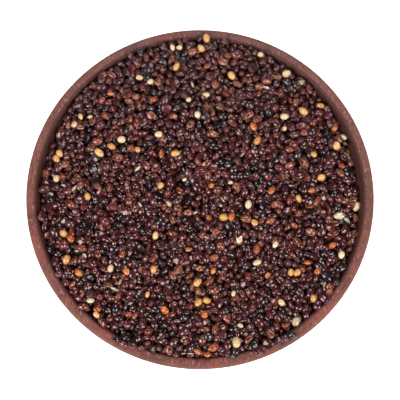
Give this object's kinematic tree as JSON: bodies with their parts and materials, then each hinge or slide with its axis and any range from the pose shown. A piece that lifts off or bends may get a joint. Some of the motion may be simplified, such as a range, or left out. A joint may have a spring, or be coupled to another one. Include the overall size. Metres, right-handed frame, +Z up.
{
  "type": "bowl of black millet",
  "caption": "Small round turned wooden bowl with a flat base, filled to its lip with glossy dark millet grains, some of them golden, orange or cream.",
  "frame": {"origin": "middle of the bowl's flat base, on the surface it stands on", "axes": "+Z up along the bowl's axis, -Y towards the viewer of the picture, +X to the viewer's right"},
  "size_m": [0.11, 0.11, 0.0483],
  "materials": {
    "bowl_wood": "matt reddish brown turned wood, fine pores",
    "millet_black": "glossy black to dark maroon hull",
    "millet_chestnut": "glossy chestnut brown hull",
    "millet_orange": "satin orange hull",
    "millet_golden": "satin golden hull",
    "millet_cream": "cream hull, soft sheen",
    "husk": "thin dry husk"
  },
  "bodies": {
    "root": {"bowl": "bowl_wood", "millet": "millet_black"}
  },
  "joints": []
}
